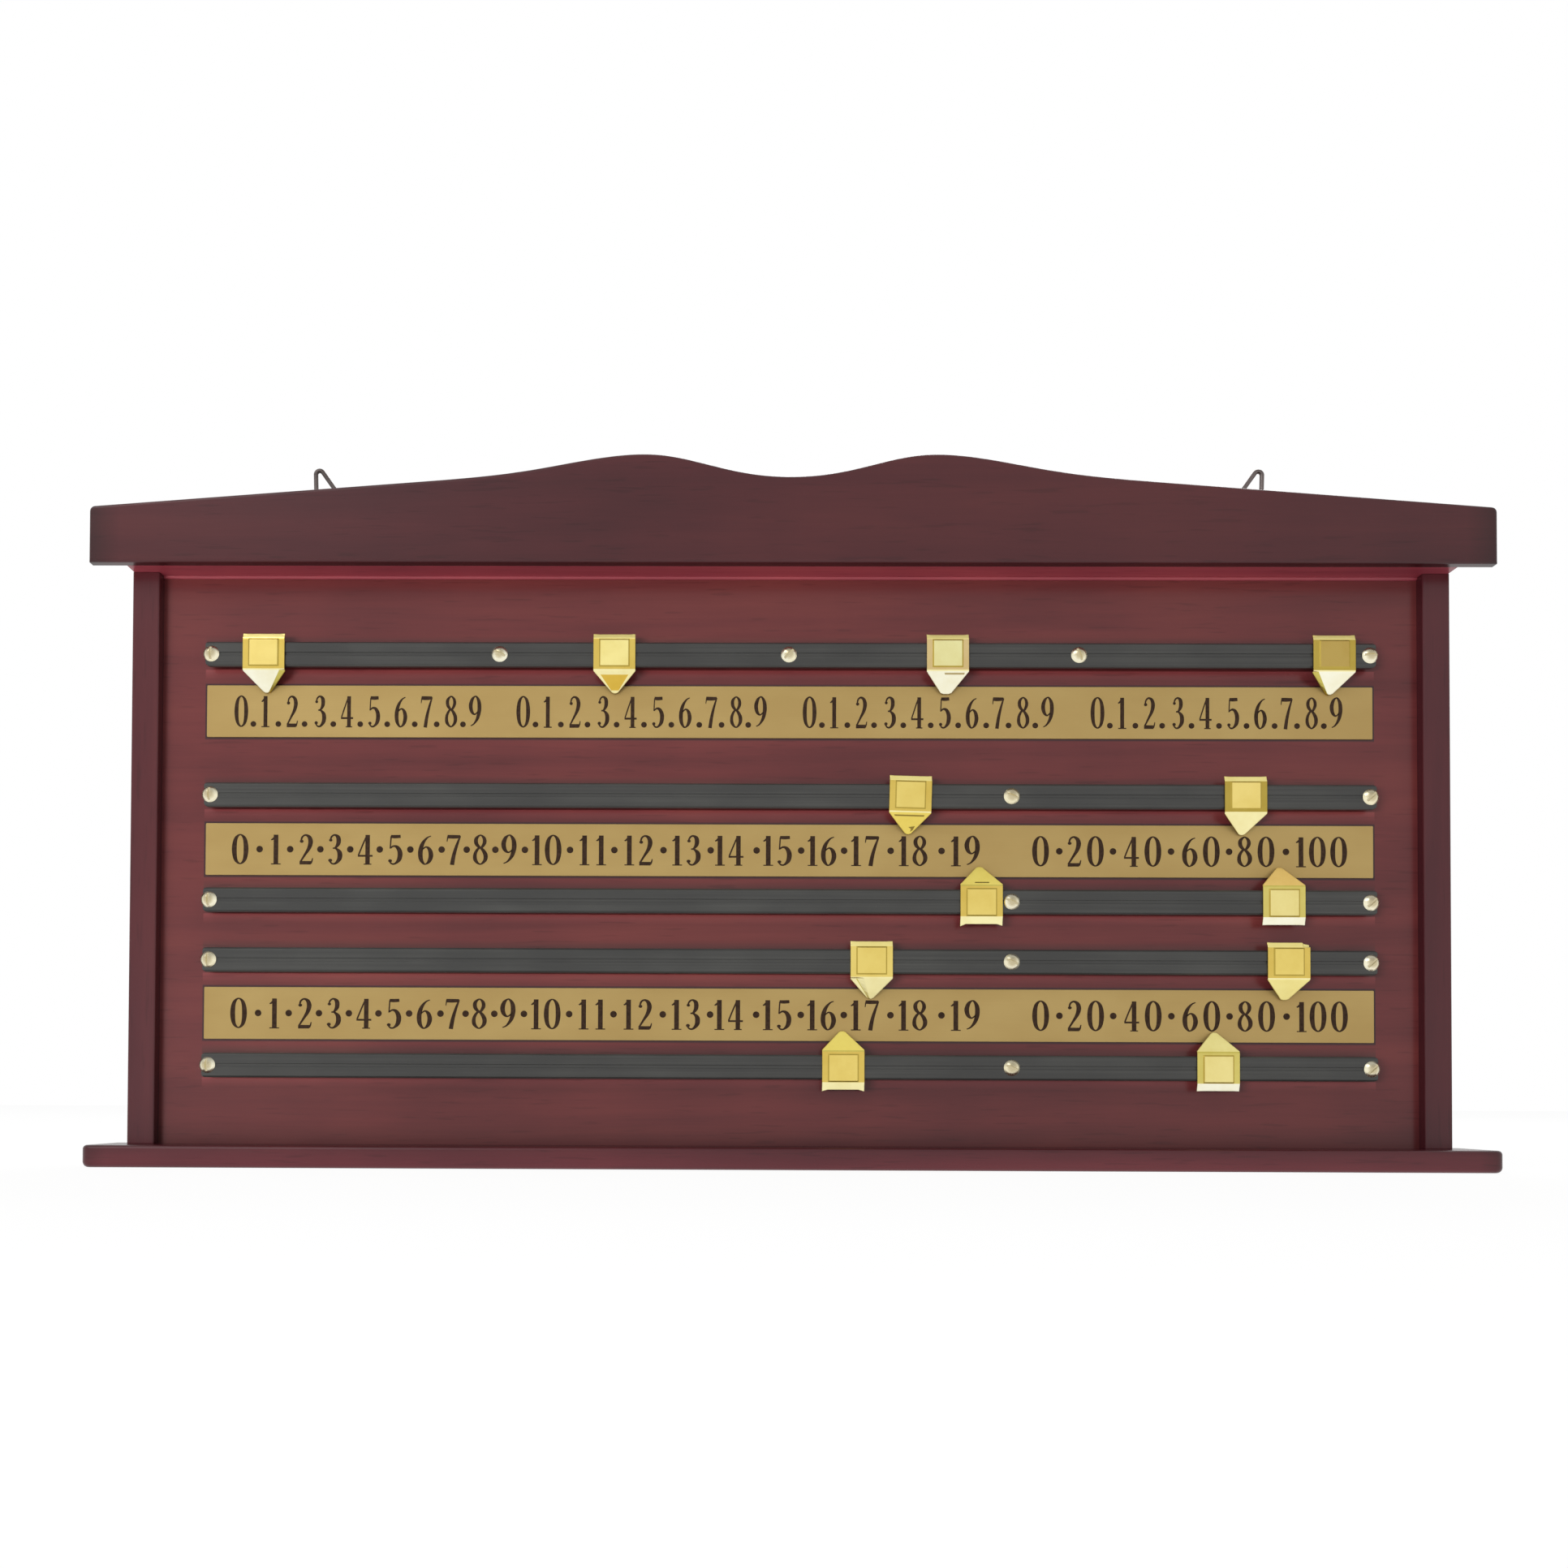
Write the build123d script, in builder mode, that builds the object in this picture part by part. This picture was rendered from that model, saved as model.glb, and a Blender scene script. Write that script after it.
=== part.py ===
from build123d import *
from math import atan, cos, degrees, radians, sin
import os

os.makedirs("parts", exist_ok=True)

# Wall scoreboard for cue games, in millimetres.
# X runs along the board, Y points into the wall and Z is up.
# The origin is the middle of the top board's rear edge, on the wall plane.

# Carcass
side_thickness = 15.0
side_stand = 7.0           # the sides stand this far in front of the panel
rear_recess = 4.0          # the panel lies this far inside the wall plane
panel_thickness = 9.0
rebate_width = 6.0         # how far the panel's rebates run into the boards
panel_play = 0.2
edge_round = 1.0           # eased edges under the lacquer

# Top board and crest
top_thickness = 15.0
top_overhang = 9.5         # the top board runs this far in front of the sides
crest_overhang = 18.1      # past the sides at each end
crest_thickness = 6.0
crest_end_height = 30.8    # heights of the crest's outline above its lower edge
crest_peak_height = 59.6
crest_dip_height = 47.4
crest_peak_x = 75.0
crest_neck_x = 132.0       # on the outer slope of each hump
crest_neck_height = 52.7
crest_shoulder_x = 200.0   # where the outline turns into its straight taper
crest_shoulder_height = 44.7
crest_corner = 3.0
crest_front_round = 1.6

# Shelf
shelf_thickness = 12.0
shelf_overhang = 25.0      # in front of the sides
shelf_end_overhang = 15.0  # past the sides at each end
shelf_nose = 3.0           # the lower edge's round-over
shelf_top_round = 2.2
shelf_corner = 5.0

# Bead under the top board
bead_size = 1.6
bead_end_play = 0.1

# Number strips, which set the board's width
strip_length = 650.0
strip_height = 29.0
strip_thickness = 0.8
strip_corner = 0.6
strip_margin = 25.0        # from a strip's end to the side board

# Spaces down the panel, which set the board's height
head_space = 32.6          # from the top board to the first rail's pointers
single_rail_gap = 15.7     # from the first rail's middle to its strip
row_gap = 20.5             # from the first strip to the next rail's pointers
rail_gap = 14.7            # from every other rail's middle to its strip
tail_gap = 6.8             # between the tails of pointers that stand back to back
foot_space = 30.5          # from the last rail's pointers to the shelf

# Rails, a T section with its stem on the panel
rail_head_height = 13.5
rail_head_depth = 3.2
rail_stem_height = 7.0
rail_stem_depth = 4.8
rail_end_margin = 3.2      # from the end screw's middle to the rail's end
rail_edge = 0.9
rail_end_round = 2.0
rail_groove_width = 1.8
rail_groove_depth = 0.5

# Round-head screws through the rails
screw_inset = 4.5          # from a strip's end to the end screw's middle
tens_section = 197.4       # from the end screw back to the screw between two scales
screw_head = 9.0
screw_head_rise = 2.3
screw_shank = 3.8
screw_bite = 7.6           # how far the shank runs into the panel
slot_width = 1.3
slot_depth = 1.2
slot_turn = 67.0           # each slot stands this much further round than the last
thread_fit = 0.05
rail_hole_play = 0.2

# Pointers, pressed from brass sheet
sheet = 0.8
slide_gap = 0.3            # running clearance between pointer and rail
pointer_width = 23.2
pointer_tip = 20.4         # from the rail's middle to the point
pointer_tail = 12.2        # from the rail's middle to the tail flange's edge
tail_depth = 3.6           # the tail flange's outer skin stands this far off the panel
foot_length = 1.0          # the tail's corners reach this much further
foot_width = 3.2
tip_crease = 8.8
tail_crease = 8.3
crease_radius = 1.1
shoulder_drop = 0.8
point_radius = 1.6
tip_clearance = 0.5        # between the point and the number strip
boss_width = 16.0
boss_height = 14.2
boss_rise = 0.55
boss_bevel = 0.9
hook_width = 14.0
hook_radius = 0.3

# Hangers
hanger_inset = 111.0       # from the board's end to the eye's middle
hanger_lean = 18.5         # degrees that each ring leans outward
eye_height = 20.0          # above the origin
wire = 2.5
eye_fit = 0.06
eye_seam = 0.6
strap_sheet = 1.2
strap_width = 12.7
strap_length = 44.0
notch_play = 0.5
ring_base = 26.0
ring_height = 43.1
ring_base_corner = 3.5
ring_top_corner = 2.2
strap_end_flat = 0.2
strap_screw_drop = 18.0    # along the strap, from the eye to the first screw
strap_screw_pitch = 18.0
strap_screw_head = 6.4
strap_screw_rise = 1.9
strap_screw_shank = 3.4
strap_screw_length = 8.0
strap_hole_play = 0.3

# Hidden fixings
carcass_screw_head = 7.0
carcass_screw_shank = 3.5
carcass_screw_length = 38.0
carcass_screw_inset = 5.5  # from the side board's front and rear edges
panel_screw_head = 4.8
panel_screw_shank = 2.6
panel_screw_length = 13.0
panel_screw_inset = 53.0   # on the sides, from the top board and from the shelf
panel_screw_clear = 43.0   # along the head and foot, from a hanger's eye
dowel = 6.0
dowel_length = 16.0
dowel_in_crest = 3.8
dowel_inset = 31.5         # from the top board's end
dowel_count = 5
pilot_relief = 0.3         # a pilot hole runs this much past what it holds

# Planes and levels that follow from the sizes above
panel_back = -rear_recess
panel_front = panel_back - panel_thickness
side_front = panel_front - side_stand
top_front = side_front - top_overhang
crest_front = top_front - crest_thickness
shelf_front = side_front - shelf_overhang
side_in = strip_length / 2 + strip_margin
side_out = side_in + side_thickness
side_middle = (side_out + side_in) / 2
rebate_half = side_in + rebate_width
panel_half = rebate_half - panel_play
soffit = -top_thickness / 2
top_face = top_thickness / 2
crest_half = side_out + crest_overhang
shelf_half = side_out + shelf_end_overhang
rail_depth = rail_stem_depth + rail_head_depth
rail_front = panel_front - rail_depth
pointer_face = rail_front - slide_gap - sheet
tail_reach = pointer_tail + foot_length
rail_offset = strip_height / 2 + rail_gap
rail_1 = soffit - head_space - tail_reach
row_1 = rail_1 - single_rail_gap - strip_height / 2
row_2 = row_1 - strip_height / 2 - row_gap - tail_reach - rail_offset
row_3 = row_2 - 2 * (rail_offset + tail_reach) - tail_gap
shelf_top = row_3 - rail_offset - tail_reach - foot_space
shelf_bottom = shelf_top - shelf_thickness
inner_height = soffit - shelf_top
end_screw_x = strip_length / 2 - screw_inset
eye_radius = wire / 2 + eye_fit
eye_y = panel_back - eye_radius
hanger_x = side_out - hanger_inset
dowel_spacing = 2 * (side_out - dowel_inset) / (dowel_count - 1)
strap_screw_steps = (strap_screw_drop, strap_screw_drop + strap_screw_pitch)

# Places of the hidden fixings, shared by the pieces that they join
carcass_screws = [
    (side * (rebate_half + side_out) / 2, y)
    for side in (-1, 1)
    for y in (side_front + carcass_screw_inset, -carcass_screw_inset)
]
panel_screw_x = side_in + rebate_width / 2
panel_screw_top = soffit + rebate_width / 2
panel_screw_bottom = shelf_top - rebate_width / 2
panel_screw_middle = (panel_screw_top + panel_screw_bottom) / 2
side_panel_screws = [
    (side * panel_screw_x, level)
    for side in (-1, 1)
    for level in (soffit - panel_screw_inset, shelf_top + panel_screw_inset)
]
end_panel_screws = [
    (step * (hanger_x - panel_screw_clear), level)
    for step in (-1, 0, 1)
    for level in (panel_screw_top, panel_screw_bottom)
]

# Each rail: its level, its screws and the way its pointers aim. A pointer stands at
# a distance from one of the rail's screws, counted from the left.
divider_screw_x = end_screw_x - tens_section
four_sections = [-end_screw_x, -end_screw_x / 2, 0.0, end_screw_x / 2, end_screw_x]
two_sections = [-end_screw_x, divider_screw_x, end_screw_x]
rails = {
    "row_1": {
        "level": rail_1, "screws": four_sections, "aim": "down",
        "pointers": {
            "first": (0, 29.4), "second": (2, -96.6), "third": (3, -72.55), "fourth": (4, -20.0),
        },
    },
    "row_2_upper": {
        "level": row_2 + rail_offset, "screws": two_sections, "aim": "down",
        "pointers": {"units": (1, -55.9), "twenties": (2, -68.9)},
    },
    "row_2_lower": {
        "level": row_2 - rail_offset, "screws": two_sections, "aim": "up",
        "pointers": {"units": (1, -16.8), "twenties": (2, -48.1)},
    },
    "row_3_upper": {
        "level": row_3 + rail_offset, "screws": two_sections, "aim": "down",
        "pointers": {"units": (1, -77.2), "twenties": (2, -45.6)},
    },
    "row_3_lower": {
        "level": row_3 - rail_offset, "screws": two_sections, "aim": "up",
        "pointers": {"units": (1, -92.7), "twenties": (2, -84.4)},
    },
}


def finish(piece, name):
    piece.label = name
    export_step(piece, f"parts/{name}.step")


# A hanger's own plane: X along the ring's base, Y up the ring, Z to the front
def hanger_plane(side):
    lean = radians(hanger_lean)
    return Plane(
        origin=(side * hanger_x, eye_y, eye_height),
        x_dir=(cos(lean), 0, -side * sin(lean)),
        z_dir=(0, -1, 0),
    )


# A slotted round-head screw, seated at the origin with its head up
def round_screw(head, rise, shank, length):
    with BuildPart() as screw:
        with BuildSketch(Plane.XZ):
            with BuildLine():
                Polyline((0, rise), (0, -length), (shank / 2, -length), (shank / 2, 0), (head / 2, 0))
                dome = (head**2 / 4 + rise**2) / (2 * rise)
                RadiusArc((head / 2, 0), (0, rise), -dome)
            make_face()
        revolve(axis=Axis.Z)
        with Locations((0, 0, rise)):
            Box(slot_width, head, 2 * slot_depth, mode=Mode.SUBTRACT)
    return screw.part


# A slotted countersunk screw, its flat head level with the origin
def countersunk_screw(head, shank, length):
    with BuildPart() as screw:
        with BuildSketch(Plane.XZ):
            with BuildLine():
                Polyline(
                    (0, 0), (0, -length), (shank / 2, -length),
                    (shank / 2, (shank - head) / 2), (head / 2, 0), close=True,
                )
            make_face()
        revolve(axis=Axis.Z)
        Box(slot_width, head, slot_depth, mode=Mode.SUBTRACT)
    return screw.part


# Top board: rebated for the panel and notched for the hanger straps
with BuildPart() as top_board:
    with BuildSketch(Plane.XY.offset(soffit)):
        Rectangle(2 * side_out, -top_front, align=(Align.CENTER, Align.MAX))
    extrude(amount=top_thickness)
    fillet(top_board.edges().filter_by(Axis.Y).group_by(Axis.Z)[0], edge_round)
    with BuildSketch(Plane.XY.offset(soffit)):
        Rectangle(2 * rebate_half, -panel_front, align=(Align.CENTER, Align.MAX))
    extrude(amount=rebate_width, mode=Mode.SUBTRACT)
    for side in (-1, 1):
        with BuildSketch(hanger_plane(side).offset(-eye_radius)):
            Rectangle(strap_width + 2 * notch_play, 2 * strap_length)
        extrude(amount=-2 * rear_recess, mode=Mode.SUBTRACT)
        with BuildSketch(hanger_plane(side).offset(-eye_radius)):
            with Locations((0, -strap_screw_steps[0])):
                Circle(strap_screw_shank / 2 + thread_fit)
        extrude(amount=strap_screw_length, mode=Mode.SUBTRACT)
    with BuildSketch(Plane.XZ.offset(-top_front)):
        with GridLocations(dowel_spacing, 0, dowel_count, 1):
            Circle(dowel / 2 + thread_fit)
    extrude(amount=-(dowel_length - dowel_in_crest + pilot_relief), mode=Mode.SUBTRACT)
    with Locations(*[(x, y, top_face) for x, y in carcass_screws]):
        CounterSinkHole(
            carcass_screw_shank / 2 + thread_fit, carcass_screw_head / 2 + thread_fit,
            depth=top_thickness, counter_sink_angle=90,
        )
    with BuildSketch(Plane.XZ.offset(-panel_front)):
        with Locations(*[(x, z) for x, z in end_panel_screws if z > panel_screw_middle]):
            Circle(panel_screw_shank / 2 + thread_fit)
    extrude(amount=panel_screw_length - panel_thickness + pilot_relief, mode=Mode.SUBTRACT)
finish(top_board.part, "top_board")

# Crest: the double-humped front board, planted on the top board's front edge
with BuildPart() as crest_board:
    with BuildSketch(Plane.XZ.offset(-top_front)) as crest_outline:
        with BuildLine():
            hump = Spline(
                (0, soffit + crest_dip_height),
                (crest_peak_x, soffit + crest_peak_height),
                (crest_neck_x, soffit + crest_neck_height),
                (crest_shoulder_x, soffit + crest_shoulder_height),
                tangents=[
                    (1, 0),
                    (crest_half - crest_shoulder_x, crest_end_height - crest_shoulder_height),
                ],
            )
            Polyline(
                hump @ 1,
                (crest_half, soffit + crest_end_height),
                (crest_half, soffit),
                (0, soffit),
            )
            mirror(about=Plane.YZ)
        make_face()
        fillet(crest_outline.vertices().group_by(Axis.X)[0].sort_by(Axis.Y)[-1], crest_corner)
        fillet(crest_outline.vertices().group_by(Axis.X)[-1].sort_by(Axis.Y)[-1], crest_corner)
    extrude(amount=crest_thickness)
    fillet(crest_board.faces().sort_by(Axis.Y)[0].edges(), crest_front_round)
    with BuildSketch(Plane.XZ.offset(-top_front)):
        with GridLocations(dowel_spacing, 0, dowel_count, 1):
            Circle(dowel / 2 + thread_fit)
    extrude(amount=dowel_in_crest + pilot_relief, mode=Mode.SUBTRACT)
finish(crest_board.part, "crest_board")

# Dowels between the crest and the top board
with BuildPart() as crest_dowels:
    with BuildSketch(Plane.XZ.offset(-top_front + dowel_in_crest)):
        with GridLocations(dowel_spacing, 0, dowel_count, 1):
            Circle(dowel / 2)
    extrude(amount=-dowel_length)
finish(crest_dowels.part, "crest_dowels")

# Side boards: rebated for the panel along the inner rear edge
with BuildPart() as left_side:
    with BuildSketch(Plane.XY.offset(shelf_top)):
        with Locations((-side_middle, 0)):
            Rectangle(side_thickness, -side_front, align=(Align.CENTER, Align.MAX))
    extrude(amount=inner_height)
    fillet(left_side.edges().filter_by(Axis.Z).group_by(Axis.Y)[0], edge_round)
    with BuildSketch(Plane.XY.offset(shelf_top)):
        Rectangle(2 * rebate_half, -panel_front, align=(Align.CENTER, Align.MAX))
    extrude(amount=inner_height, mode=Mode.SUBTRACT)
    with BuildSketch(Plane.XY.offset(soffit)):
        with Locations(*[place for place in carcass_screws if place[0] < 0]):
            Circle(carcass_screw_shank / 2 + thread_fit)
    extrude(amount=-(carcass_screw_length - top_thickness + pilot_relief), mode=Mode.SUBTRACT)
    with BuildSketch(Plane.XY.offset(shelf_top)):
        with Locations(*[place for place in carcass_screws if place[0] < 0]):
            Circle(carcass_screw_shank / 2 + thread_fit)
    extrude(amount=carcass_screw_length - shelf_thickness + pilot_relief, mode=Mode.SUBTRACT)
    with BuildSketch(Plane.XZ.offset(-panel_front)):
        with Locations(*[place for place in side_panel_screws if place[0] < 0]):
            Circle(panel_screw_shank / 2 + thread_fit)
    extrude(amount=panel_screw_length - panel_thickness + pilot_relief, mode=Mode.SUBTRACT)
finish(left_side.part, "left_side")

with BuildPart() as right_side:
    mirror(left_side.part, about=Plane.YZ)
finish(right_side.part, "right_side")

# Shelf: eased along its front, rebated for the panel between the sides
with BuildPart() as bottom_shelf:
    with BuildSketch(Plane.XY.offset(shelf_bottom)) as shelf_outline:
        Rectangle(2 * shelf_half, -shelf_front, align=(Align.CENTER, Align.MAX))
        fillet(shelf_outline.vertices().group_by(Axis.Y)[0], shelf_corner)
    extrude(amount=shelf_thickness)
    fillet(bottom_shelf.faces().sort_by(Axis.Z)[-1].edges().sort_by(Axis.Y)[:-1], shelf_top_round)
    fillet(bottom_shelf.faces().sort_by(Axis.Z)[0].edges().sort_by(Axis.Y)[:-1], shelf_nose)
    with BuildSketch(Plane.XY.offset(shelf_top)):
        Rectangle(2 * rebate_half, -panel_front, align=(Align.CENTER, Align.MAX))
    extrude(amount=-rebate_width, mode=Mode.SUBTRACT)
    with Locations(*[Plane((x, y, shelf_bottom), z_dir=(0, 0, -1)) for x, y in carcass_screws]):
        CounterSinkHole(
            carcass_screw_shank / 2 + thread_fit, carcass_screw_head / 2 + thread_fit,
            depth=shelf_thickness, counter_sink_angle=90,
        )
    with BuildSketch(Plane.XZ.offset(-panel_front)):
        with Locations(*[(x, z) for x, z in end_panel_screws if z < panel_screw_middle]):
            Circle(panel_screw_shank / 2 + thread_fit)
    extrude(amount=panel_screw_length - panel_thickness + pilot_relief, mode=Mode.SUBTRACT)
finish(bottom_shelf.part, "bottom_shelf")

# Back panel, let into the rebates from behind
with BuildPart() as back_panel:
    with BuildSketch(Plane.XZ.offset(-panel_back)):
        with Locations((0, (soffit + shelf_top) / 2)):
            Rectangle(2 * panel_half, inner_height + 2 * (rebate_width - panel_play))
    extrude(amount=panel_thickness)
    with BuildSketch(Plane.XZ.offset(-panel_front)):
        for rail in rails.values():
            with Locations(*[(x, rail["level"]) for x in rail["screws"]]):
                Circle(screw_shank / 2 + thread_fit)
    extrude(amount=-(screw_bite + pilot_relief), mode=Mode.SUBTRACT)
    for side in (-1, 1):
        with BuildSketch(hanger_plane(side).offset(-eye_radius)):
            with Locations((0, -strap_screw_steps[1])):
                Circle(strap_screw_shank / 2 + thread_fit)
        extrude(amount=strap_screw_length - strap_sheet + pilot_relief, mode=Mode.SUBTRACT)
    with Locations(*[
        Plane((x, panel_back, z), z_dir=(0, 1, 0)) for x, z in side_panel_screws + end_panel_screws
    ]):
        CounterSinkHole(
            panel_screw_shank / 2 + thread_fit, panel_screw_head / 2 + thread_fit,
            depth=panel_thickness, counter_sink_angle=90,
        )
finish(back_panel.part, "back_panel")

# Quarter-round bead in the corner between the panel and the top board
with BuildPart() as head_bead:
    with BuildSketch(Plane.YZ.offset(bead_end_play - side_in)):
        with Locations((panel_front, soffit)):
            Circle(bead_size)
            Rectangle(bead_size, bead_size, align=(Align.MAX, Align.MAX), mode=Mode.INTERSECT)
    extrude(amount=2 * (side_in - bead_end_play))
finish(head_bead.part, "head_bead")

# Number strips
for name, level in (("row_1", row_1), ("row_2", row_2), ("row_3", row_3)):
    with BuildPart() as number_strip:
        with BuildSketch(Plane.XZ.offset(-panel_front)):
            with Locations((0, level)):
                RectangleRounded(strip_length, strip_height, strip_corner)
        extrude(amount=strip_thickness)
    finish(number_strip.part, f"number_strip_{name}")

# Rails: T section, grooved along the face, with a hole at each screw
rail_half = end_screw_x + rail_end_margin
for name, rail in rails.items():
    with BuildPart() as rail_strip:
        with BuildSketch(Plane.YZ.offset(-rail_half)) as rail_section:
            with Locations((rail_front + rail_head_depth, rail["level"])):
                Rectangle(rail_head_depth, rail_head_height, align=(Align.MAX, Align.CENTER))
            chamfer(rail_section.vertices().group_by(Axis.X)[0], rail_edge)
            with Locations((panel_front, rail["level"])):
                Rectangle(rail_stem_depth, rail_stem_height, align=(Align.MAX, Align.CENTER))
            with Locations((rail_front, rail["level"])):
                Rectangle(2 * rail_groove_depth, rail_groove_width, mode=Mode.SUBTRACT)
        extrude(amount=2 * rail_half)
        end_edges = rail_strip.edges().filter_by(Axis.Y)
        ends = end_edges.group_by(Axis.X)[0] + end_edges.group_by(Axis.X)[-1]
        corners = ends.group_by(Axis.Z)[0] + ends.group_by(Axis.Z)[-1]
        fillet(corners, rail_end_round)
        with BuildSketch(Plane.XZ.offset(-rail_front)):
            with Locations(*[(x, rail["level"]) for x in rail["screws"]]):
                Circle(screw_shank / 2 + rail_hole_play)
        extrude(amount=-rail_depth, mode=Mode.SUBTRACT)
    finish(rail_strip.part, f"rail_{name}")

    with BuildPart() as rail_screws:
        brass_screw = round_screw(screw_head, screw_head_rise, screw_shank, rail_depth + screw_bite)
        with Locations(*[
            Location((x, rail_front, rail["level"]), (90, 0, count * slot_turn))
            for count, x in enumerate(rail["screws"])
        ]):
            add(brass_screw)
    finish(rail_screws.part, f"rail_screws_{name}")


# A pointer: house-shaped front, both ends creased back towards the panel, a pressed
# square on its face, and a hook behind each edge of the rail's head
def make_pointer(x, level, aim):
    tail_slope = (panel_front - tail_depth - pointer_face) / (tail_reach - tail_crease)
    tip_depth = panel_front - strip_thickness - tip_clearance - sheet
    tip_slope = (tip_depth - pointer_face) / (pointer_tip - tip_crease)
    trim = 2 * sheet
    tail_end = tail_reach + trim
    tip_end = pointer_tip + trim
    hook_front = panel_front - rail_stem_depth + slide_gap
    hook_gap = rail_head_height / 2 + slide_gap
    with BuildPart() as pointer:
        with BuildSketch(Plane.YZ.offset(x - pointer_width / 2)):
            with BuildLine():
                FilletPolyline(
                    (pointer_face + tail_slope * (tail_end - tail_crease), level + tail_end),
                    (pointer_face, level + tail_crease),
                    (pointer_face, level - tip_crease),
                    (pointer_face + tip_slope * (tip_end - tip_crease), level - tip_end),
                    radius=crease_radius,
                )
                offset(amount=sheet, side=Side.LEFT)
            make_face()
        extrude(amount=pointer_width)
        with BuildSketch(Plane.XZ.offset(-panel_front)) as front:
            with BuildLine():
                half = pointer_width / 2
                Polyline(
                    (x, level + pointer_tail),
                    (x + half - foot_width, level + pointer_tail),
                    (x + half - foot_width / 2, level + tail_reach),
                    (x + half, level + tail_reach),
                    (x + half, level - tip_crease - shoulder_drop),
                    (x, level - pointer_tip),
                )
                mirror(about=Plane.YZ.offset(x))
            make_face()
            fillet(front.vertices().sort_by(Axis.Y)[0], point_radius)
        extrude(amount=panel_front - pointer_face + sheet, mode=Mode.INTERSECT)
        bevel = degrees(atan(boss_bevel / boss_rise))
        for skin, mode in ((0, Mode.ADD), (sheet, Mode.SUBTRACT)):
            with BuildSketch(Plane.XZ.offset(-pointer_face - skin)):
                with Locations((x, level + (tail_crease - tip_crease) / 2)):
                    Rectangle(boss_width, boss_height)
            extrude(amount=boss_rise, taper=bevel, mode=mode)
        with BuildSketch(Plane.YZ.offset(x - hook_width / 2)):
            with BuildLine():
                FilletPolyline(
                    (pointer_face + sheet / 2, level - hook_gap),
                    (hook_front, level - hook_gap),
                    (hook_front, level - rail_stem_height / 2 - slide_gap),
                    radius=hook_radius,
                )
                offset(amount=sheet, side=Side.RIGHT)
            make_face()
            with Locations((hook_front, level + rail_stem_height / 2 + slide_gap)):
                Rectangle(
                    sheet, pointer_tail - sheet / 2 - rail_stem_height / 2 - slide_gap,
                    align=(Align.MIN, Align.MIN),
                )
        extrude(amount=hook_width)
        if aim == "up":
            mirror(about=Plane.XY.offset(level), mode=Mode.REPLACE)
    return pointer.part


for name, rail in rails.items():
    for place, (screw, distance) in rail["pointers"].items():
        x = rail["screws"][screw] + distance
        finish(make_pointer(x, rail["level"], rail["aim"]), f"pointer_{name}_{place}")

# Hangers: a strap folded into an eye, and a three-cornered wire ring that swings in it
for name, side in (("left", -1), ("right", 1)):
    plane = hanger_plane(side)
    across = Plane(origin=plane.origin, x_dir=plane.z_dir, z_dir=plane.x_dir)
    with BuildPart() as hanger_strap:
        with BuildSketch(plane.offset(-eye_radius)) as strap_outline:
            Rectangle(strap_width, strap_length, align=(Align.CENTER, Align.MAX))
            fillet(strap_outline.vertices().group_by(Axis.Y)[0], (strap_width - strap_end_flat) / 2)
            with Locations(*[(0, -step) for step in strap_screw_steps]):
                Circle(strap_screw_shank / 2 + strap_hole_play, mode=Mode.SUBTRACT)
        extrude(amount=-strap_sheet)
        with BuildSketch(across):
            Circle(eye_radius + strap_sheet)
            Circle(eye_radius, mode=Mode.SUBTRACT)
            with Locations((eye_radius, -side * eye_radius)):
                Rectangle(3 * strap_sheet, eye_seam, rotation=-side * 45, mode=Mode.SUBTRACT)
        extrude(amount=strap_width / 2, both=True)
        with BuildSketch(across):
            Circle(eye_radius)
        extrude(amount=strap_width / 2, both=True, mode=Mode.SUBTRACT)
    finish(hanger_strap.part, f"hanger_strap_{name}")

    with BuildPart() as hanger_ring:
        with BuildLine(plane) as ring_path:
            FilletPolyline(
                (-ring_base / 2, 0), (ring_base / 2, 0), (0, ring_height),
                radius=(ring_base_corner, ring_base_corner, ring_top_corner), close=True,
            )
        with BuildSketch(Plane(origin=ring_path.line @ 0, z_dir=ring_path.line % 0)):
            Circle(wire / 2)
        sweep()
    finish(hanger_ring.part, f"hanger_ring_{name}")

# Screws that hold the straps, from behind
with BuildPart() as hanger_screws:
    strap_screw = round_screw(
        strap_screw_head, strap_screw_rise, strap_screw_shank, strap_screw_length
    )
    for side in (-1, 1):
        for step in strap_screw_steps:
            seat = hanger_plane(side).offset(-eye_radius - strap_sheet).from_local_coords((0, -step, 0))
            with Locations(Location(seat, (-90, 0, slot_turn * step))):
                add(strap_screw)
finish(hanger_screws.part, "hanger_screws")

# Countersunk screws through the top board and the shelf into the sides
with BuildPart() as top_screws:
    with Locations(*[Location((x, y, top_face), (0, 0, slot_turn * y)) for x, y in carcass_screws]):
        add(countersunk_screw(carcass_screw_head, carcass_screw_shank, carcass_screw_length))
finish(top_screws.part, "top_screws")

with BuildPart() as shelf_screws:
    with Locations(*[
        Location((x, y, shelf_bottom), (180, 0, slot_turn * y)) for x, y in carcass_screws
    ]):
        add(countersunk_screw(carcass_screw_head, carcass_screw_shank, carcass_screw_length))
finish(shelf_screws.part, "shelf_screws")

# Small countersunk screws through the panel's edges, from behind
with BuildPart() as panel_screws:
    with Locations(*[
        Location((x, panel_back, z), (-90, 0, slot_turn * x))
        for x, z in side_panel_screws + end_panel_screws
    ]):
        add(countersunk_screw(panel_screw_head, panel_screw_shank, panel_screw_length))
finish(panel_screws.part, "panel_screws")
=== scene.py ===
import bpy
import bmesh
import math
from mathutils import Matrix, Vector

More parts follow.
